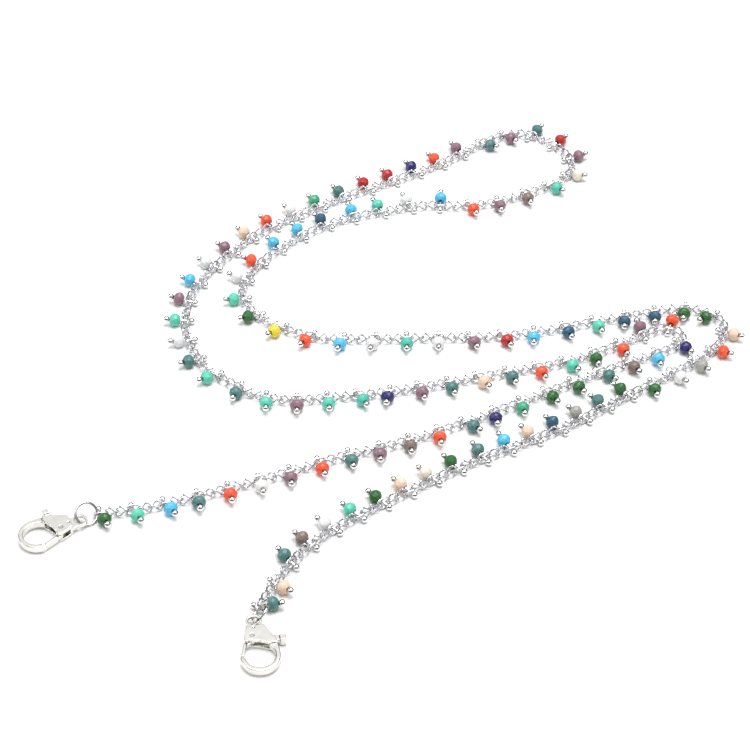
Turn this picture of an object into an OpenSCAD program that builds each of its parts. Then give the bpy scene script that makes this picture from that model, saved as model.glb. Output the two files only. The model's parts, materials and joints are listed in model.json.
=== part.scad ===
// Beaded eyeglass chain laid out in nested loops on a flat surface.
// Units are millimetres, +Z is up, and the origin is on the surface under
// the middle of the chain's outline.

/* [Chain] */
// wire thickness of a chain link
link_wire = 0.45; // [0.35:0.01:0.5]
// outside length of a chain link
link_length = 3.3; // [3.2:0.01:3.4]
// outside width of a chain link
link_width = 2.2; // [2:0.01:2.4]

/* [Beads] */
// largest diameter of a glass bead
bead_d = 3; // [2.6:0.1:3.2]
// length of a bead along its pin
bead_length = 2.3; // [2:0.1:2.6]
// diameter of the hole through a bead
bead_hole = 0.7; // [0.6:0.05:1]
// diameter of the balls on both ends of a pin
ball_d = 1.45; // [1.2:0.05:1.6]
// wire thickness of a pin
pin_d = 0.5; // [0.4:0.05:0.55]
// upward tilt of a pin towards its bead
pin_tilt = 9.5; // [5:0.5:12]

/* [Jump rings] */
// outside diameter of the round rings that hold the clasps
ring_d = 5.2; // [4.8:0.1:6]
// wire thickness of those rings
ring_wire = 0.6; // [0.5:0.05:0.7]

/* [Clasps] */
// thickness of a clasp's body
clasp_thickness = 2.6; // [2.2:0.1:3]
// thickness of the hook around the opening
hook_thickness = 1.6; // [1.5:0.1:2.4]
// outside radius of the round hook
hook_r = 3.9; // [3.6:0.1:4.2]
// radius of the opening inside the hook
opening_r = 2.95; // [2.6:0.05:3.1]
// diameter of the eye that the jump ring passes through
eye_hole = 2.2; // [1.8:0.1:2.4]
// diameter of the rivet that the gate lever turns on
rivet_d = 0.9; // [0.7:0.1:1.1]
// radial running gap between the rivet and the gate lever
rivet_gap = 0.05; // [0.01:0.01:0.1]

/* [Hidden] */
$fn = 48;
link_bend = (link_width - link_wire) / 2;   // centreline radius of a link's ends
link_straight = link_length - link_width;
chain_z = 1.155;                               // height of the chain's centreline
ball_in = 1.5;                               // chain centre to the inner ball's centre
bead_out = 2.3;                              // chain centre to the bead's centre
ball_out = bead_out + bead_length / 2 + ball_d / 2;

// the chain's course over the surface, from the left clasp to the right one
course = [
  [-75, -49.5], [-68, -47.5], [-62, -45.7], [-55, -44.5], [-49, -43], [-37, -39], [-25, -34.5],
  [-13, -29.5], [-1, -25.5], [11, -20.5], [22, -15], [33, -9.2], [43, -4],
  [52, 0.5], [58, 3.2], [61.5, 5.3], [63.2, 7.6], [62.4, 10.1], [60, 11.2], [57, 10.1], [51, 6.8], [44, 3.2], [35, -0.5],
  [23, -3.5], [10, -6.8], [-3, -9.6], [-15, -11.3], [-24, -12], [-31, -10.2],
  [-37, -6.2], [-42, -2], [-45.5, 4.5], [-47.5, 13], [-47, 21], [-44, 29],
  [-39, 36.5], [-32.5, 44.4], [-23, 51.5], [-12, 58.5], [0, 65], [12, 72],
  [20, 78.5], [26, 82.5], [32, 83.5], [38, 80], [42.2, 74.5], [43, 69],
  [39, 64], [33, 60.5], [25, 56.8], [16, 55], [6, 55], [-4, 52.5],
  [-14, 49], [-22.5, 43.3], [-29.3, 36.5], [-34, 29], [-35, 22], [-31.5, 15.5],
  [-25, 10.8], [-17, 8], [-7, 7.6], [7, 8], [21, 8.4], [33, 10.4],
  [45, 13.6], [55, 16], [64, 17.8], [70.5, 16], [73, 11.5], [71, 5.6],
  [66, 0.7], [57.5, -5.4], [47.5, -12], [37.5, -19], [27, -24.8], [15, -31],
  [3, -38.5], [-9, -46.5], [-17, -53], [-22, -59.5], [-25, -65], [-27.4, -70.5], [-28.8, -77], [-29.5, -84]
];

// runs of neighbouring pins: first pin, side of travel, forward lean
lean = [
  [0, -1, 15], [3, -1, -6], [6, -1, -14], [7, -1, -4], [9, -1, -14], [12, -1, 18], [13, -1, -16],
  [15, -1, 4], [17, -1, 22], [18, -1, 6], [19, -1, -14], [20, -1, -12], [21, -1, -6], [22, -1, -12],
  [23, 1, 6], [24, 1, 10], [25, 1, -18], [26, 1, -10], [28, 1, -18], [29, 1, -4], [31, 1, 18],
  [32, 1, -18], [33, 1, 0], [35, 1, -18], [37, 1, 18], [38, 1, 0], [42, 1, -8], [46, 1, -16],
  [54, 1, 0], [55, -1, 18], [57, 1, 18], [58, 1, 4], [60, 1, -18], [62, 1, 8], [64, 1, -14],
  [65, -1, 0], [66, -1, 18], [68, -1, 4], [69, -1, 18], [70, -1, 0], [72, -1, 18], [73, -1, 0],
  [75, -1, -16], [76, -1, -18], [78, -1, -14], [80, -1, -2], [82, -1, 18], [84, -1, -14], [85, -1, 6],
  [87, -1, -18], [89, -1, -8], [90, -1, -12], [91, 1, 18], [92, 1, -10], [93, 1, 0], [95, 1, 22],
  [96, -1, 18], [101, -1, 8], [103, -1, 18], [109, -1, 6], [110, -1, -14], [111, 1, 14], [112, 1, -18]
];

// bead colours from the left clasp to the right one
bead_letters = str(
  "GmbtowpotpuotngGGtubnop", "oGmotetpnsmpmtm", "twmp", "bwpe", "owgt",
  "rrnop", "tptrp", "csupo", "bwmbq", "bbowm", "Gyobw", "swprb", "qmqqG",
  "Geo", "xwG", "Gtxq", "ebtG", "ceGm", "wutet");
glass = [
  ["G", [0.10, 0.34, 0.12]], ["g", [0.20, 0.55, 0.38]], ["m", [0.42, 0.80, 0.68]],
  ["s", [0.35, 0.72, 0.62]], ["b", [0.45, 0.85, 0.92]], ["t", [0.28, 0.50, 0.48]],
  ["q", [0.12, 0.30, 0.42]], ["o", [0.95, 0.35, 0.20]], ["r", [0.75, 0.10, 0.10]],
  ["p", [0.62, 0.38, 0.44]], ["u", [0.52, 0.44, 0.38]], ["n", [0.15, 0.13, 0.40]],
  ["e", [0.92, 0.78, 0.62]], ["c", [0.95, 0.90, 0.78]], ["w", [0.95, 0.95, 0.93]],
  ["y", [0.95, 0.85, 0.20]], ["x", [0.62, 0.62, 0.58]]];
function tint(c) = [for (g = glass) if (g[0] == c) g[1]][0];

// smooth curve through the course, measured along its length
steps = 12;
function curve(a, b, c, d, t) = 0.5 * (2 * b + (c - a) * t
  + (2 * a - 5 * b + 4 * c - d) * t * t + (3 * b - a - 3 * c + d) * t * t * t);
dots = [for (i = [1 : len(course) - 3]) for (k = [0 : steps - 1])
  curve(course[i - 1], course[i], course[i + 1], course[i + 2], k / steps)];
run = [for (i = 0, s = 0; i < len(dots) - 1; s = s + norm(dots[i + 1] - dots[i]), i = i + 1) s];
along_x = [for (i = [0 : len(run) - 1]) [run[i], dots[i].x]];
along_y = [for (i = [0 : len(run) - 1]) [run[i], dots[i].y]];
function spot(s) = [lookup(s, along_x), lookup(s, along_y), chain_z];
function heading(s) = let (d = spot(s + 0.6) - spot(s - 0.6)) atan2(d.y, d.x);

// link 0 carries the first pin and every third link after it carries the next
pins = 113;
first_s = 7.5;
// distance from the first pin to some later ones; a loose chain lies drawn
// out in places and pushed together in others
reach = [[-2, -13], [0, 0], [16, 106.5], [19, 127.5], [22, 147],
  [58, 387], [61, 407], [72, 484], [75, 504], [89, 603.5], [92, 623], [112, 747], [114, 760]];
function link_s(j) = first_s + lookup(j / 3, reach);
function lean_row(b) = [for (r = lean) if (r[0] <= b) r][len([for (r = lean) if (r[0] <= b) r]) - 1];
function side(b) = lean_row(max(0, min(pins - 1, b)))[1];

module link(j) {
  s = link_s(j);
  b = round(j / 3);
  translate(spot(s)) rotate([0, 0, heading(s)])
    rotate([side(b) * pin_tilt + (j % 2 == 0 ? -45 : 45), 0, 0]) oval();
}
module oval() {
  for (m = [0, 180]) rotate([0, 0, m]) {
    translate([link_straight / 2, 0, 0]) rotate([0, 0, -90])
      rotate_extrude(angle = 180) translate([link_bend, 0]) circle(d = link_wire);
    translate([-link_straight / 2, link_bend, 0]) rotate([0, 90, 0])
      cylinder(d = link_wire, h = link_straight);
  }
}
module links(a, b) color([0.8, 0.81, 0.83]) for (j = [a : b]) link(j);

// frame of a pin: +X runs from the chain out through the bead
module on_pin(b) {
  s = link_s(3 * b);
  r = lean_row(b);
  translate(spot(s)) rotate([0, 0, heading(s) + r[1] * (90 - r[2])])
    rotate([0, -pin_tilt, 0]) children();
}
module pin_set(a, b) color([0.86, 0.87, 0.89]) for (i = [a : b]) on_pin(i) {
  rotate([0, 90, 0]) translate([0, 0, -ball_in])
    cylinder(d = pin_d, h = ball_in + ball_out);
  translate([ball_out, 0, 0]) sphere(d = ball_d);
}
module ball_set(a, b) color([0.86, 0.87, 0.89]) for (i = [a : b]) on_pin(i)
  difference() {
    translate([-ball_in, 0, 0]) sphere(d = ball_d);
    translate([-ball_in, 0, 0]) rotate([0, 90, 0]) cylinder(d = pin_d, h = ball_d);
  }
module bead_set(a, b) for (i = [a : b]) color(tint(bead_letters[i])) on_pin(i)
  translate([bead_out, 0, 0]) rotate([0, 90, 0]) difference() {
    for (m = [0, 1]) mirror([0, 0, m]) {
      cylinder(d = bead_d, h = bead_length * 0.14);
      translate([0, 0, bead_length * 0.14])
        cylinder(d1 = bead_d, d2 = bead_d * 0.5, h = bead_length * 0.36);
    }
    translate([0, 0, -bead_length]) cylinder(d = bead_hole, h = 2 * bead_length);
  }

// jump ring: +X of its frame runs along the chain towards the clasp
module ring() color([0.82, 0.83, 0.85]) rotate([0, 0, 4])
  rotate_extrude(angle = 352) translate([(ring_d - ring_wire) / 2, 0]) circle(d = ring_wire);

// clasp frame: origin at the eye, +X towards the hook, gate on the -Y side
hook_x = 9;
rivet_at = [4.3, -0.9, 0];
gate_reach = 5.2;                           // from the rivet to the gate's free end
slot_z = 1.2;
module plate(points, h) translate([0, 0, -h / 2]) linear_extrude(h) polygon(points);
module casting() color([0.84, 0.85, 0.87]) difference() {
  union() {
    translate([0, 0, -0.35]) cylinder(d = eye_hole + 1, h = 0.7);
    plate([[0.9, -1.3], [2.6, -1.75], [2.6, 1.95], [0.9, 1.3]], 0.7);
    plate([[2, -1.55], [3.4, -2.2], [4.6, -2.5], [5.4, -2.5], [6.2, -1.2], [6.9, 3.2], [6.6, 3.75], [5.4, 3.3], [3.6, 2.45], [2, 1.7]], clasp_thickness);
    plate([[5.6, 0], [6.4, 3.6], [7.4, 3.85], [9, 3.9], [9, 0]], hook_thickness);
    difference() {
      translate([hook_x, 0, -hook_thickness / 2]) cylinder(r = hook_r, h = hook_thickness);
      translate([0, -6, -3]) cube([8.8, 9, 6]);
    }
  }
  translate([hook_x, 0, -3]) cylinder(r = opening_r, h = 6);
  intersection() {
    translate([rivet_at.x, rivet_at.y, -3]) cylinder(r = gate_reach + 0.15, h = 6);
    translate([6, -5, -3]) cube([4, 3, 6]);
  }
  plate([[5.35, -1.7], [5.9, 0.5], [9, 2], [9, -2.95], [8, -2.9]], 6);
  translate([0, 0, -3]) cylinder(d = eye_hole, h = 6);
  translate([rivet_at.x, rivet_at.y, -3]) cylinder(d = rivet_d, h = 6);
  plate([[2.7, -3], [7.5, -3], [7.5, 1.2], [6.2, 2.6], [6.25, 5], [2.7, 5]], slot_z);
}
module lever() color([0.84, 0.85, 0.87]) difference() {
  union() {
    translate([rivet_at.x, rivet_at.y, -0.5]) cylinder(r = 1, h = 1);
    plate([[3.9, -1.8], [4.5, -2.3], [8.6, -3.72], [8.6, -2.98], [6, -2.2], [5, -0.5]], 1);
    plate([[5.6, -2.75], [8.6, -3.75], [8.6, -3], [5.85, -2.15]], hook_thickness - 0.2);
    plate([[3.6, -0.3], [4.6, 4], [4.9, 5.4], [6.1, 5.4], [5.75, 3.4], [5.1, -0.7]], 1);
    plate([[4.75, 4.3], [4.95, 5.5], [6.2, 5.5], [6.05, 4.3]], 1.8);
  }
  translate([rivet_at.x, rivet_at.y, -3]) cylinder(d = rivet_d + 2 * rivet_gap, h = 6);
}
module rivet() color([0.8, 0.8, 0.82])
  translate([rivet_at.x, rivet_at.y, -clasp_thickness / 2]) cylinder(d = rivet_d, h = clasp_thickness);
module spring() color([0.7, 0.71, 0.73]) {
  translate([3.25, 1.2, 0]) rotate([0, 0, 90]) rotate_extrude(angle = 180) translate([0.42, 0]) circle(d = 0.22);
  translate([3.25, 0.78, 0]) rotate([0, 90, 0]) cylinder(d = 0.22, h = 0.52);
  translate([3.25, 1.62, 0]) rotate([0, 90, 0]) cylinder(d = 0.22, h = 0.72);
}

// where the ends lie: eye position and heading of each clasp, ring centres
left_eye = [-64.85, -47.75];
left_turn = 207;
right_eye = [-28.5, -74.25];
right_turn = -79;
left_ring_at = [-63.6, -46.2];
left_ring_turn = 34;
left_ring_lean = 40;
right_ring_at = [-27.3, -72.65];
right_ring_turn = -106;
right_ring_lean = 50;
ring_r = (ring_d - ring_wire) / 2;
module on_left_clasp() translate([left_eye.x, left_eye.y, clasp_thickness / 2])
  rotate([0, 0, left_turn]) rotate([180, 0, 0]) children();
module on_right_clasp() translate([right_eye.x, right_eye.y, clasp_thickness / 2])
  rotate([0, 0, right_turn]) children();

module left_clasp_casting() on_left_clasp() casting();
module left_gate_lever() on_left_clasp() lever();
module left_rivet() on_left_clasp() rivet();
module left_gate_spring() on_left_clasp() spring();
module right_clasp_casting() on_right_clasp() casting();
module right_gate_lever() on_right_clasp() lever();
module right_rivet() on_right_clasp() rivet();
module right_gate_spring() on_right_clasp() spring();
module left_jump_ring() translate([left_ring_at.x, left_ring_at.y, ring_r * sin(left_ring_lean) + ring_wire / 2])
  rotate([0, 0, left_ring_turn]) rotate([left_ring_lean, 0, 0]) rotate([0, 0, -125]) ring();
module right_jump_ring() translate([right_ring_at.x, right_ring_at.y, ring_r * sin(right_ring_lean) + ring_wire / 2])
  rotate([0, 0, right_ring_turn]) rotate([right_ring_lean, 0, 0]) rotate([0, 0, 90]) ring();

module left_outer_links() links(0, 16);
module left_outer_pins() pin_set(0, 5);
module left_outer_beads() bead_set(0, 5);
module left_outer_end_balls() ball_set(0, 5);
module left_inner_links() links(18, 37);
module left_inner_pins() pin_set(6, 12);
module left_inner_beads() bead_set(6, 12);
module left_inner_end_balls() ball_set(6, 12);
module front_row_links() links(39, 68);
module front_row_pins() pin_set(13, 22);
module front_row_beads() bead_set(13, 22);
module front_row_end_balls() ball_set(13, 22);
module middle_row_links() links(69, 110);
module middle_row_pins() pin_set(23, 36);
module middle_row_beads() bead_set(23, 36);
module middle_row_end_balls() ball_set(23, 36);
module left_curve_links() links(111, 137);
module left_curve_pins() pin_set(37, 45);
module left_curve_beads() bead_set(37, 45);
module left_curve_end_balls() ball_set(37, 45);
module back_row_links() links(138, 179);
module back_row_pins() pin_set(46, 59);
module back_row_beads() bead_set(46, 59);
module back_row_end_balls() ball_set(46, 59);
module inner_row_links() links(180, 227);
module inner_row_pins() pin_set(60, 75);
module inner_row_beads() bead_set(60, 75);
module inner_row_end_balls() ball_set(60, 75);
module centre_row_links() links(228, 272);
module centre_row_pins() pin_set(76, 90);
module centre_row_beads() bead_set(76, 90);
module centre_row_end_balls() ball_set(76, 90);
module right_row_links() links(273, 295);
module right_row_pins() pin_set(91, 98);
module right_row_beads() bead_set(91, 98);
module right_row_end_balls() ball_set(91, 98);
module right_inner_links() links(297, 316);
module right_inner_pins() pin_set(99, 105);
module right_inner_beads() bead_set(99, 105);
module right_inner_end_balls() ball_set(99, 105);
module right_outer_links() links(318, 336);
module right_outer_pins() pin_set(106, 112);
module right_outer_beads() bead_set(106, 112);
module right_outer_end_balls() ball_set(106, 112);
module left_outer_swivel_link() links(17, 17);
module left_inner_swivel_link() links(38, 38);
module right_inner_swivel_link() links(296, 296);
module right_outer_swivel_link() links(317, 317);

// the piece to draw, or "all"
left_outer_links();
left_outer_pins();
left_outer_beads();
left_outer_end_balls();
left_inner_links();
left_inner_pins();
left_inner_beads();
left_inner_end_balls();
front_row_links();
front_row_pins();
front_row_beads();
front_row_end_balls();
middle_row_links();
middle_row_pins();
middle_row_beads();
middle_row_end_balls();
left_curve_links();
left_curve_pins();
left_curve_beads();
left_curve_end_balls();
back_row_links();
back_row_pins();
back_row_beads();
back_row_end_balls();
inner_row_links();
inner_row_pins();
inner_row_beads();
inner_row_end_balls();
centre_row_links();
centre_row_pins();
centre_row_beads();
centre_row_end_balls();
right_row_links();
right_row_pins();
right_row_beads();
right_row_end_balls();
right_inner_links();
right_inner_pins();
right_inner_beads();
right_inner_end_balls();
right_outer_links();
right_outer_pins();
right_outer_beads();
right_outer_end_balls();
left_outer_swivel_link();
left_inner_swivel_link();
right_inner_swivel_link();
right_outer_swivel_link();
left_jump_ring();
left_clasp_casting();
left_gate_lever();
left_rivet();
left_gate_spring();
right_jump_ring();
right_clasp_casting();
right_gate_lever();
right_rivet();
right_gate_spring();
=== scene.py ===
# %% [markdown]
# A beaded eyeglass chain, lying in nested loops on a pale surface.
# The imported model already fixes where every link, pin, bead, ring and clasp
# is, so this script loads it first and builds the finer pieces around it.
# Where each link, bead and clasp goes is read from the loaded solids. The
# bead's profile, the cast mark, the camera and the lights are given.

# %% Load the imported model
import json
import math
import random

import bmesh
import bpy
import numpy as np
from mathutils import Matrix, Vector


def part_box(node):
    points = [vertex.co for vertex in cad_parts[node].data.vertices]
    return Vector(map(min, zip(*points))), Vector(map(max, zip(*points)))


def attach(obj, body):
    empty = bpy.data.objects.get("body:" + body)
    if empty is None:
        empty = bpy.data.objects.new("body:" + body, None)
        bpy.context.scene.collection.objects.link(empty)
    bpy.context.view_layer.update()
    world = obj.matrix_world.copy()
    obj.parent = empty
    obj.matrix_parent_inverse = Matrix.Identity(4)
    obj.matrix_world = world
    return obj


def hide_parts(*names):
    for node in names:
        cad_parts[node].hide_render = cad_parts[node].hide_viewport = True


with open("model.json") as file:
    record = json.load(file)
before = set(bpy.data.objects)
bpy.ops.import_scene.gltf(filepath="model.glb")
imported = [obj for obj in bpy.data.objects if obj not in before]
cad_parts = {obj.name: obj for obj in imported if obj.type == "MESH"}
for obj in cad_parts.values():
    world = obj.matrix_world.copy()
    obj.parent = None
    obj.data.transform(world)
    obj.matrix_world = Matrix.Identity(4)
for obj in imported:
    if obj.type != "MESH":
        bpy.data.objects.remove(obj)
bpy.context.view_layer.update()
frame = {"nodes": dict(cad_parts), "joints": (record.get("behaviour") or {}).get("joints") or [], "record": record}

# %% [markdown]
# The camera stands in front of the loops and looks down at them at about
# forty-three degrees, from under half a metre. A long lens at that distance
# keeps the loops' outline close to its true shape. The aim is a point on the
# surface, a few millimetres off the middle of the outline.

# %% Camera
MM = 0.001
AIM = Vector((-5, -3, 0)) * MM
LOOK_DOWN = math.radians(43.08)
AWAY = 459.3 * MM
LENS = 100.8                     # mm
SENSOR = 36                      # width, mm

camera_data = bpy.data.cameras.new("camera")
camera_data.lens = LENS
camera_data.sensor_width = SENSOR
camera = bpy.data.objects.new("camera", camera_data)
camera.location = AIM + AWAY * Vector((0, -math.cos(LOOK_DOWN), math.sin(LOOK_DOWN)))
camera.rotation_euler = (math.pi / 2 - LOOK_DOWN, 0, 0)
bpy.context.scene.collection.objects.link(camera)
bpy.context.scene.camera = camera
print("camera at", [round(v, 4) for v in camera.location])

# %% [markdown]
# Finishes are worked out with sums on sockets. Wrapping a socket in a small
# class lets a line such as 0.2 + 0.1 * grain stand for its Math nodes, which
# reads far better than wiring them one by one. Every other kind of node comes
# from one method, so a finish stays a few lines long.

# %% Sockets as numbers, and one method for all other nodes


class Value:
    """A socket whose sums and products add Math nodes."""

    def __init__(self, finish, socket):
        self.finish = finish
        self.socket = socket

    def _sum(self, how, a, b):
        node = self.finish.add("ShaderNodeMath", {"operation": how}, {0: a, 1: b})
        return Value(self.finish, node.outputs[0])

    def __add__(self, other):
        return self._sum("ADD", self, other)

    def __radd__(self, other):
        return self._sum("ADD", other, self)

    def __sub__(self, other):
        return self._sum("SUBTRACT", self, other)

    def __rsub__(self, other):
        return self._sum("SUBTRACT", other, self)

    def __mul__(self, other):
        return self._sum("MULTIPLY", self, other)

    def __rmul__(self, other):
        return self._sum("MULTIPLY", other, self)


class Wiring:
    """A node tree and the tools to wire it."""

    def __init__(self, tree):
        self.tree = tree

    def add(self, kind, settings=(), inputs=()):
        """Adds a node, sets it, then gives its sockets their values or links."""
        node = self.tree.nodes.new(kind)
        for key, value in dict(settings).items():
            if key == "stops":
                ramp = node.color_ramp.elements
                for element, (place, colour) in zip(ramp, value):
                    element.position, element.color = place, colour
            else:
                setattr(node, key, value)
        for key, value in dict(inputs).items():
            self.plug(node.inputs[key], value)
        return node

    def plug(self, socket, value):
        if isinstance(value, Value):
            value = value.socket
        if isinstance(value, bpy.types.NodeSocket):
            self.tree.links.new(value, socket)
        else:
            socket.default_value = value

    def mix(self, share, a, b):
        """From colour a to colour b."""
        node = self.add("ShaderNodeMix", {"data_type": "RGBA"}, {0: share, 6: a, 7: b})
        return node.outputs[2]


class Finish(Wiring):
    """A material whose surface takes values and sums."""

    def __init__(self, name):
        self.material = bpy.data.materials.new(name)
        self.material.use_nodes = True
        super().__init__(self.material.node_tree)
        self.surface = self.tree.nodes["Principled BSDF"]

    def set(self, **sockets):
        """Sets the surface's own sockets; base_color stands for Base Color."""
        for name, value in sockets.items():
            self.plug(self.surface.inputs[name.replace("_", " ").title()], value)

    def place(self, grow):
        """Where a point is on the piece, in units of 1/grow metres."""
        spot = self.add("ShaderNodeTexCoord").outputs["Object"]
        scaled = self.add("ShaderNodeVectorMath", {"operation": "MULTIPLY"}, {0: spot, 1: grow})
        return scaled.outputs[0]

    def noise(self, grow, detail=3.0, rough=0.55):
        node = self.add("ShaderNodeTexNoise", {}, {
            "Vector": self.place(grow), "Scale": 1.0, "Detail": detail, "Roughness": rough})
        return Value(self, node.outputs["Factor"] if "Factor" in node.outputs else node.outputs[0])

    def bump(self, height, depth, strength=1.0):
        node = self.add("ShaderNodeBump", {}, {
            "Height": height, "Distance": depth, "Strength": strength})
        self.plug(self.surface.inputs["Normal"], node.outputs["Normal"])


def linear(r, g, b):
    """A colour given by its 0-255 screen values, as a shader wants it."""
    turned = [(v / 255 / 12.92) if v <= 10 else ((v / 255 + 0.055) / 1.055) ** 2.4
              for v in (r, g, b)]
    return (*turned, 1.0)


print("socket class and finish class ready")

# %% [markdown]
# A white sheet and large soft lamps give the bright, nearly shadowless look
# of a product table. Polished metal shows only what surrounds it, so the
# room's walls are dark and its ceiling is pale: each ball and wire then has a
# bright side and a dark line, which is what makes it read as silver. Looked
# at directly, the room is plain and pale.

# %% Light, room and surface
SHEET = 6.0                      # side of the white sheet, m
WALL = (0.015, 0.015, 0.015, 1)
CEILING = (0.55, 0.55, 0.55, 1)
ROOM_SEEN = (0.9, 0.9, 0.9, 1)   # what the camera sees of the room


def lamp(name, at, size, watts):
    """A square soft lamp that faces the chain."""
    data = bpy.data.lights.new(name, "AREA")
    data.shape = "SQUARE"
    data.size = size
    data.energy = watts
    obj = bpy.data.objects.new(name, data)
    obj.location = at
    obj.rotation_euler = (AIM - Vector(at)).to_track_quat("-Z", "Y").to_euler()
    bpy.context.scene.collection.objects.link(obj)


lamp("lamp_over", (0.1, 0.05, 1.0), 0.8, 12.5)
lamp("lamp_left", (-0.9, -0.1, 0.6), 0.5, 2.6)
lamp("lamp_right", (0.9, -0.35, 0.55), 0.4, 1.2)
lamp("lamp_behind", (-0.1, 0.85, 0.85), 0.8, 1.3)

room = bpy.data.worlds.new("room")
room.use_nodes = True
walls = Wiring(room.node_tree)
toward = walls.add("ShaderNodeTexCoord").outputs["Generated"]
height = walls.add("ShaderNodeSeparateXYZ", {}, {0: toward}).outputs["Z"]
shade = walls.add("ShaderNodeValToRGB", {"stops": [(0.3, WALL), (0.8, CEILING)]},
                  {0: height}).outputs["Color"]
seen = walls.add("ShaderNodeLightPath").outputs["Is Camera Ray"]
walls.plug(room.node_tree.nodes["Background"].inputs["Color"],
           walls.mix(seen, shade, ROOM_SEEN))
bpy.context.scene.world = room
bpy.context.scene.view_settings.view_transform = "Standard"

sheet_mesh = bpy.data.meshes.new("white_sheet")
half = SHEET / 2
sheet_mesh.from_pydata([(-half, -half, 0), (half, -half, 0), (half, half, 0), (-half, half, 0)],
                       [], [(0, 1, 2, 3)])
white_sheet = bpy.data.objects.new("white_sheet", sheet_mesh)
bpy.context.scene.collection.objects.link(white_sheet)
print("lamps", len(bpy.data.lights), "sheet", SHEET, "m")

# %% [markdown]
# The chain, pins, rings and clasps are bright plated metal, but not the same
# metal. Drawn wire keeps fine lines, ball ends are tumbled smooth, and cast
# clasps have a slight ripple under the plating. Each finish is a metal whose
# roughness and colour wander a little at the scale of the piece.

# %% Metal finishes


def plated(name, bright, dull, grain, ripple, rough=(0.08, 0.16)):
    """Bright plating: colour and roughness wander, and the surface ripples."""
    finish = Finish(name)
    cloud = finish.noise((grain, grain, grain))
    fine = finish.noise((grain * 6, grain * 6, grain * 2), detail=2.0)
    finish.set(metallic=1.0, base_color=finish.mix(cloud, bright, dull),
               roughness=rough[0] + rough[1] * fine)
    finish.bump(0.7 * cloud + 0.3 * fine, ripple)
    return finish.material


wire_plating = plated("wire_plating", linear(238, 238, 240), linear(188, 188, 192),
                      1400, 0.00002, (0.10, 0.20))
ball_plating = plated("ball_plating", linear(244, 243, 242), linear(206, 205, 204),
                      1100, 0.00001, (0.05, 0.12))
ring_plating = plated("ring_plating", linear(224, 222, 218), linear(172, 170, 166),
                      900, 0.00002, (0.08, 0.18))
cast_plating = plated("cast_plating", linear(232, 230, 225), linear(206, 204, 199),
                      500, 0.00001, (0.12, 0.08))
rivet_metal = plated("rivet_metal", linear(214, 212, 208), linear(150, 148, 144),
                     1800, 0.00002, (0.14, 0.22))
spring_wire = plated("spring_wire", linear(170, 170, 174), linear(112, 112, 118),
                     2600, 0.00001, (0.20, 0.25))
print("metal finishes", [m.name for m in bpy.data.materials])

# %% [markdown]
# The beads are opaque pressed glass in many colours. One finish serves them
# all: each bead's colour is painted on its mesh, and the finish adds the
# milky streaks, the slightly uneven polish and the clear gloss on top.

# %% Glass finish
GLASS = {
    "G": linear(20, 104, 30), "g": linear(66, 176, 134), "m": linear(92, 214, 184),
    "s": linear(74, 200, 176), "b": linear(80, 200, 244), "t": linear(72, 128, 124),
    "q": linear(28, 88, 118), "o": linear(255, 84, 36), "r": linear(196, 26, 26),
    "p": linear(148, 108, 124), "u": linear(132, 114, 106), "n": linear(32, 22, 112),
    "e": linear(250, 216, 190), "c": linear(246, 238, 222), "w": linear(246, 247, 246),
    "y": linear(252, 226, 32), "x": linear(172, 170, 164)}

bead_glass = Finish("bead_glass")
painted = bead_glass.add("ShaderNodeAttribute", {"attribute_name": "glass_colour"}).outputs["Color"]
milk = bead_glass.noise((900, 900, 900), detail=4.0)
streak = bead_glass.noise((2600, 700, 2600), detail=2.0)
lighter = bead_glass.mix(0.05, painted, (1, 1, 1, 1))
deeper = bead_glass.mix(0.38, painted, (0, 0, 0, 1))
bead_glass.set(base_color=bead_glass.mix(0.6 * milk + 0.4 * streak, deeper, lighter),
               roughness=0.16 + 0.18 * streak, coat_weight=0.15)
bead_glass.surface.inputs["Specular IOR Level"].default_value = 0.35
bead_glass.bump(streak, 0.00001)
bead_glass = bead_glass.material
print("glass colours", len(GLASS))

# %% [markdown]
# The sheet is smooth matt card. Its fibres are far finer than a bead, so they
# only soften the tone a little.

# %% Sheet finish
card = Finish("white_card")
fibre = card.noise((700, 700, 700))
card.set(base_color=card.mix(fibre, (0.86, 0.86, 0.86, 1), (0.9, 0.9, 0.9, 1)),
         roughness=0.7 + 0.1 * fibre)
card.bump(fibre, 0.00001, 0.2)
sheet_mesh.materials.append(card.material)
print("surface finish", card.material.name)

# %% [markdown]
# Every link, pin and bead is a separate solid inside its node's mesh, so the
# mesh can be taken apart again: points that meet are welded, and points joined
# by edges get the same label. Each group of points then says where its solid
# is and which way it faces, and the fine pieces are built at those places.

# %% Take a node's mesh apart into its solids
WELD = 2e-7                      # points closer than this are one, m
GRID_START = 0.2                 # moves every point to the positive side, m


def solids(node):
    """The points of each solid in a node, as a list of arrays in metres."""
    mesh = frame["nodes"][node].data
    points = np.empty(len(mesh.vertices) * 3)
    mesh.vertices.foreach_get("co", points)
    points = points.reshape(-1, 3)
    ends = np.empty(len(mesh.edges) * 2, np.int64)
    mesh.edges.foreach_get("vertices", ends)
    grid = np.round((points + GRID_START) / WELD).astype(np.int64)
    code = (grid[:, 0] << 42) + (grid[:, 1] << 21) + grid[:, 2]
    _, first, weld = np.unique(code, return_index=True, return_inverse=True)
    a, b = weld[ends].reshape(-1, 2).T
    label = np.arange(len(first))
    while True:
        low = np.minimum(label[a], label[b])
        new = label.copy()
        np.minimum.at(new, a, low)
        np.minimum.at(new, b, low)
        new = new[new[new]]
        if (new == label).all():
            break
        label = new
    kept = points[first]
    return [kept[label == mark] for mark in np.unique(label)]


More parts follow.
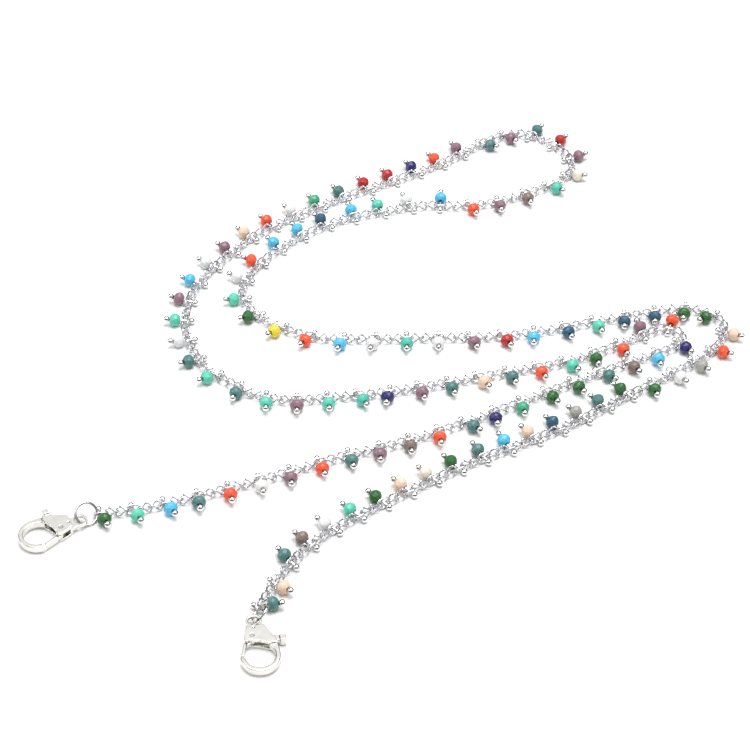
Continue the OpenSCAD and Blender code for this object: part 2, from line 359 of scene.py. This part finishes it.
def axes_of(points):
    """Middle, axes from the longest to the shortest, and size along each."""
    middle = (points.max(0) + points.min(0)) / 2
    _, turn = np.linalg.eigh(np.cov((points - points.mean(0)).T))
    turn = turn[:, ::-1]
    along = (points - middle) @ turn
    middle = middle + turn @ ((along.max(0) + along.min(0)) / 2)
    if np.linalg.det(turn) < 0:
        turn[:, 2] *= -1
    return middle, turn, np.ptp(along, axis=0)


RUNS = ["left_outer", "left_inner", "front_row", "middle_row", "left_curve", "back_row",
        "inner_row", "centre_row", "right_row", "right_inner", "right_outer"]
SWIVEL_AFTER = {"left_outer": "left_outer_swivel_link", "left_inner": "left_inner_swivel_link",
                "right_row": "right_inner_swivel_link", "right_inner": "right_outer_swivel_link"}
body_of = {node: body for body, nodes in frame["record"]["behaviour"]["bodies"].items()
           for node in nodes}


def in_order(found, start):
    """The solids found, each the nearest one left to the one before."""
    left, order, here = list(found), [], start
    while left:
        nearest = min(range(len(left)), key=lambda i: np.linalg.norm(left[i][0] - here))
        order.append(left.pop(nearest))
        here = order[-1][0]
    return order


link_frames = {}
here = np.array(sum(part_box("left_jump_ring"), Vector())) / 2
for run in RUNS:
    nodes = [run + "_links"] + ([SWIVEL_AFTER[run]] if run in SWIVEL_AFTER else [])
    for node in nodes:
        link_frames[node] = in_order([axes_of(points) for points in solids(node)], here)
        here = link_frames[node][-1][0]
LINK_LENGTH, LINK_WIDTH, LINK_WIRE = link_frames["left_outer_links"][3][2]
print("links", sum(len(v) for v in link_frames.values()), "each",
      [round(float(v) / MM, 2) for v in (LINK_LENGTH, LINK_WIDTH, LINK_WIRE)], "mm")

# %% [markdown]
# A chain link is a short piece of wire bent to an oval, with its two ends
# butted together in the middle of one side. Rolling has flattened the wire a
# little and twisted the link a quarter turn, which makes curb chain lie flat
# and glitter. A tube swept round the oval, then turned about its length, shows
# it all. Every third link carries a pin through its middle, and that one is
# left untwisted so that the pin has room.

# %% Build the links
WIRE_SIDES = 12
FLATNESS = 2.5                   # power of the wire's section; 2 is round
SEAM_DEPTH = 0.14                # share of the wire's radius


def piece(name, vertices, faces, finish, body, *stands_for, smooth=True):
    """A mesh piece in the row's frame that rides a body."""
    mesh = bpy.data.meshes.new(name)
    mesh.from_pydata([tuple(v) for v in vertices], [], faces)
    mesh.validate()
    mesh.polygons.foreach_set("use_smooth", [smooth] * len(mesh.polygons))
    mesh.materials.append(finish)
    obj = bpy.data.objects.new(name, mesh)
    bpy.context.scene.collection.objects.link(obj)
    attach(obj, body)
    if stands_for:
        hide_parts(*stands_for)
    return obj


def oval_path(length, width, wire):
    """Stations round the oval: place, outward direction and seam share."""
    bend = (width - wire) / 2
    straight = (length - width) / 2
    seam = 0.06 * MM
    stations = [((x, bend), (0, 1), 0) for x in (straight, straight / 2, seam * 2, seam)]
    stations += [((0, bend), (0, 1), 1)]
    stations += [((x, bend), (0, 1), 0) for x in (-seam, -seam * 2, -straight / 2)]
    for side, middle, first in ((-1, -straight, 90), (1, straight, 270)):
        for k in range(13):
            angle = math.radians(first + 15 * k)
            out = (math.cos(angle), math.sin(angle))
            stations.append(((middle + bend * out[0], bend * out[1]), out, 0))
        if side < 0:
            stations += [((x, -bend), (0, -1), 0) for x in (-straight / 2, 0, straight / 2)]
    return stations[:-1]


def wire_section(sides, power):
    """Points of a rounded square of radius 1: outward and along the normal."""
    points = []
    for k in range(sides):
        c, s = math.cos(2 * math.pi * k / sides), math.sin(2 * math.pi * k / sides)
        points.append((math.copysign(abs(c) ** (2 / power), c),
                       math.copysign(abs(s) ** (2 / power), s)))
    return np.array(points)


SECTION = wire_section(WIRE_SIDES, FLATNESS)


def link_shell(turn_at):
    """One link's points about its own middle, and its faces. turn_at gives
    the turn about its length at a place along it."""
    radius = LINK_WIRE / 2
    stations = oval_path(LINK_LENGTH, LINK_WIDTH, LINK_WIRE)
    points = []
    for (x, y), (ox, oy), seam in stations:
        thick = radius * (1 - SEAM_DEPTH * seam)
        c, s = math.cos(turn_at(x)), math.sin(turn_at(x))
        for out, up in SECTION:
            wide, high = y + thick * out * oy, thick * up
            points.append((x + thick * out * ox, c * wide - s * high, s * wide + c * high))
    n, m = len(stations), WIRE_SIDES
    faces = [(i * m + k, ((i + 1) % n) * m + k,
              ((i + 1) % n) * m + (k + 1) % m, i * m + (k + 1) % m)
             for i in range(n) for k in range(m)]
    return np.array(points), faces


TWIST = math.pi / 2
TWIST_REACH = 0.8 * MM           # half the length over which a link twists


def twist_from(first, last):
    """The turn along a link that goes smoothly from first to last."""
    def turn_at(x):
        t = min(1, max(0, (x / TWIST_REACH + 1) / 2))
        return first + (last - first) * t * t * (3 - 2 * t)
    return turn_at


# a link's twist goes by its place in a set of three, and by its lean
shells = {(0, lean): link_shell(twist_from(0, 0)) for lean in (-1, 1)}
for lean in (-1, 1):
    shells[1, lean] = link_shell(twist_from(0, -lean * TWIST))
    shells[2, lean] = link_shell(twist_from(-lean * TWIST, 0))

middles = [middle for frames in link_frames.values() for middle, _, _ in frames]
number = 0
for node, frames in link_frames.items():
    vertices, faces = [], []
    for middle, turn, _ in frames:
        ahead = middles[min(number + 1, len(middles) - 1)] - middles[max(number - 1, 0)]
        along = turn[:, 0] * (1 if turn[:, 0] @ ahead > 0 else -1)
        wide = turn[:, 1]
        left = np.cross((0, 0, 1), along)
        lean = 1 if (wide @ left) * wide[2] > 0 else -1
        axes = np.array([along, wide, np.cross(along, wide)])
        points, shell_faces = shells[number % 3, lean]
        offset = len(vertices)
        vertices.extend(middle + points @ axes)
        faces.extend(tuple(i + offset for i in f) for f in shell_faces)
        number += 1
    if node.endswith("_links"):
        name = node.replace("_links", "_curb_links")
    else:
        name = node.replace("_link", "_loop")
    piece(name, vertices, faces, wire_plating, body_of[node], node)
print("links built", number, "faces each", len(shell_faces))

# %% [markdown]
# The beads are small rondelles, cut with two belts of facets that meet at a
# blunt edge round the middle. The cutting is what makes pressed glass sparkle,
# so the facets are real faces with a hair of rounding on their edges. Each
# bead sits on its pin at its own turn, as beads do.

# %% Build the beads
random.seed(7)
FACETS = 10
FACET_EDGE = 0.035               # rounding between facets, mm
BEAD_LETTERS = ("GmbtowpotpuotngGGtubnop" "oGmotetpnsmpmtm" "twmp" "bwpe" "owgt"
                "rrnop" "tptrp" "csupo" "bwmbq" "bbowm" "Gyobw" "swprb" "qmqqG"
                "Geo" "xwG" "Gtxq" "ebtG" "ceGm" "wutet")
BEAD_RADIUS = 1.5 * MM
BEAD_HALF = 1.15 * MM
HOLE_RADIUS = 0.35 * MM
# along the pin and out from it, as shares of the bead's half length and radius
BEAD_RINGS = [(0.80, 0.30, 0), (1.00, 0.36, 0), (1.00, 0.52, 0), (0.62, 0.84, 1), (0.20, 1.00, 0)]


def bead_shell():
    """Faceted rondelle with a countersunk hole, its axis along X."""
    rings = [(t, r, shift) for t, r, shift in BEAD_RINGS]
    rings += [(-t, r, shift) for t, r, shift in reversed(BEAD_RINGS)]
    rings[0] = (rings[0][0], HOLE_RADIUS / BEAD_RADIUS, 0)
    rings[-1] = (rings[-1][0], HOLE_RADIUS / BEAD_RADIUS, 0)
    points, faces, n = [], [], FACETS
    for t, r, shift in rings:
        for k in range(n):
            angle = 2 * math.pi * (k + shift / 2) / n
            points.append((t * BEAD_HALF, r * BEAD_RADIUS * math.cos(angle),
                           r * BEAD_RADIUS * math.sin(angle)))
    for i in range(len(rings)):
        j = (i + 1) % len(rings)
        a, b = rings[i][2], rings[j][2]
        for k in range(n):
            p, q = i * n + k, i * n + (k + 1) % n
            u, v = j * n + k, j * n + (k + 1) % n
            if a == b:
                faces.append((p, u, v, q))
            elif b:
                faces += [(p, u, q), (q, u, v)]
            else:
                faces += [(p, u, v), (p, v, q)]
    return points, faces


def rounded_bead():
    """The bead's shell with a hair of rounding on every facet edge."""
    points, faces = bead_shell()
    mesh = bmesh.new()
    corners = [mesh.verts.new(Vector(p) / MM) for p in points]
    for face in faces:
        mesh.faces.new([corners[i] for i in face])
    bmesh.ops.recalc_face_normals(mesh, faces=mesh.faces)
    bmesh.ops.bevel(mesh, geom=list(mesh.edges), offset=FACET_EDGE, segments=1, affect="EDGES",
                    profile=0.5)
    mesh.verts.index_update()
    points = [np.array(v.co) * MM for v in mesh.verts]
    faces = [tuple(v.index for v in f.verts) for f in mesh.faces]
    mesh.free()
    return points, faces


bead_points, bead_faces = rounded_bead()
bead_points = np.array(bead_points)
bead_count = 0
for run in RUNS:
    pins = []
    for points in solids(run + "_pins"):
        middle, turn, _ = axes_of(points)
        pins.append((middle, turn[:, 0]))
    chain = [middle for middle, _, _ in link_frames[run + "_links"]]
    beads = []
    for points in solids(run + "_beads"):
        centre = points.mean(0)
        _, axis = min(pins, key=lambda p: np.linalg.norm(p[0] - centre))
        nearest = min(range(len(chain)), key=lambda i: np.linalg.norm(chain[i] - centre))
        beads.append((nearest, centre, Vector(axis)))
    vertices, faces, colours = [], [], []
    for _, centre, axis in sorted(beads, key=lambda b: b[0]):
        offset = len(vertices)
        turn = Vector((1, 0, 0)).rotation_difference(axis).to_matrix() @ Matrix.Rotation(
            random.uniform(0, 2 * math.pi), 3, "X")
        vertices.extend(centre + bead_points @ np.array(turn).T)
        faces.extend(tuple(i + offset for i in f) for f in bead_faces)
        colours.extend([GLASS[BEAD_LETTERS[bead_count]]] * len(bead_points))
        bead_count += 1
    bead_piece = piece(run + "_glass_beads", vertices, faces, bead_glass, body_of[run + "_beads"],
                       run + "_beads", smooth=False)
    paint = bead_piece.data.color_attributes.new("glass_colour", "FLOAT_COLOR", "POINT")
    paint.data.foreach_set("color", np.array(colours, np.float32).ravel())
print("beads", bead_count, "faces each", len(bead_faces))

# %% [markdown]
# Clasps like these are cast, then tumbled and plated, so no edge is sharp.
# The model's casting has the right outline, slot and bore but knife edges.
# Building its surface anew on a fine grid and easing it rounds every edge, the
# hook's most of all, and leaves the openings where they are.

# %% Soften the cast pieces
GRID = 0.07                      # mm
RIM = (2.4, 4.6)                 # the hook's band round its middle, mm
RIM_FROM = 6                     # where the band starts, mm from the eye
RIM_FADE = 1.5                   # and over how much it comes in, mm
DOT_AT = (2.4, -0.3)             # cast mark on the upper face, mm from the eye
DOT_RADIUS = 0.3                 # mm
DOT_DEPTH = 0.12                 # mm
hook_at = {m["name"][:-5]: Vector(m["pos_m"]) / MM for m in frame["record"]["mounts"]}
eye_at = {j["name"].split("_")[0]: Vector(j["pos_m"]) / MM for j in frame["joints"]
          if j["name"].endswith("clasp_swing")}


def shown(obj):
    """The mesh that an object's modifiers give."""
    bpy.context.view_layer.update()
    return bpy.data.meshes.new_from_object(obj.evaluated_get(bpy.context.evaluated_depsgraph_get()))


def eased(node, name, finish, rounds, rim_rounds):
    """A copy of a node's solid with rounded edges, in the row's frame."""
    side = node.split("_")[0]
    source = bmesh.new()
    source.from_mesh(frame["nodes"][node].data)
    bmesh.ops.remove_doubles(source, verts=source.verts, dist=1e-7)
    bmesh.ops.scale(source, vec=(1 / MM, 1 / MM, 1 / MM), verts=source.verts)
    mesh = bpy.data.meshes.new(name + "_source")
    source.to_mesh(mesh)
    source.free()
    draft = bpy.data.objects.new(name + "_source", mesh)
    bpy.context.scene.collection.objects.link(draft)
    grid = draft.modifiers.new("grid", "REMESH")
    grid.mode = "VOXEL"
    grid.voxel_size = GRID
    mesh = shown(draft)
    draft.modifiers.clear()
    draft.data = mesh
    rim = draft.vertex_groups.new(name="rim")
    along = (hook_at[side] - eye_at[side]).normalized()
    for vertex in mesh.vertices:
        out = (vertex.co - hook_at[side]).to_2d().length
        ahead = (vertex.co - eye_at[side]).dot(along)
        if RIM[0] < out < RIM[1] and ahead > RIM_FROM:
            rim.add([vertex.index], min(1, (ahead - RIM_FROM) / RIM_FADE), "REPLACE")
    for label, times, group in (("edges", rounds, ""), ("rim", rim_rounds, "rim")):
        ease = draft.modifiers.new(label, "SMOOTH")
        ease.factor = 0.5
        ease.iterations = times
        ease.vertex_group = group
    done = shown(draft)
    bpy.data.objects.remove(draft)
    done.transform(Matrix.Scale(MM, 4))
    done.name = name
    done.polygons.foreach_set("use_smooth", [True] * len(done.polygons))
    done.materials.clear()
    done.materials.append(finish)
    obj = bpy.data.objects.new(name, done)
    bpy.context.scene.collection.objects.link(obj)
    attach(obj, body_of[node])
    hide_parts(node)
    return obj


def press_dot(obj, side):
    """The small cast mark: a shallow dish in the body's upper face."""
    along = (hook_at[side] - eye_at[side]).normalized()
    across = Vector((-along.y, along.x, 0)) * (-1 if side == "left" else 1)
    dot = (eye_at[side] + DOT_AT[0] * along + DOT_AT[1] * across) * MM
    top = max(v.co.z for v in obj.data.vertices)
    for vertex in obj.data.vertices:
        away = (vertex.co - dot).to_2d().length / (DOT_RADIUS * MM)
        if away < 1 and vertex.co.z > top - 0.5 * MM:
            vertex.co.z -= DOT_DEPTH * MM * (1 - away ** 2)


for side in ("left", "right"):
    body = eased(side + "_clasp_casting", side + "_clasp_cast_body", cast_plating, 6, 26)
    press_dot(body, side)
    gate = eased(side + "_gate_lever", side + "_gate_and_thumb_pad", cast_plating, 5, 4)
    print(side, "clasp faces", len(body.data.polygons), "gate faces", len(gate.data.polygons))

# %% [markdown]
# The pins with their ball ends, the jump rings, rivets and springs are already
# right in the model: turned and drawn shapes with no cast edges. They stay,
# and only take their finish.

# %% Finish the pieces that stay
for node, obj in frame["nodes"].items():
    if node.endswith("_pins") or node.endswith("_end_balls"):
        finish = ball_plating
    elif node.endswith("_jump_ring"):
        finish = ring_plating
    elif node.endswith("_rivet"):
        finish = rivet_metal
    elif node.endswith("_gate_spring"):
        finish = spring_wire
    elif "link" in node:
        finish = wire_plating
    elif node.endswith("_beads"):
        finish = bead_glass
    else:
        finish = cast_plating
    obj.data.materials.clear()
    obj.data.materials.append(finish)
print("nodes finished", len(frame["nodes"]))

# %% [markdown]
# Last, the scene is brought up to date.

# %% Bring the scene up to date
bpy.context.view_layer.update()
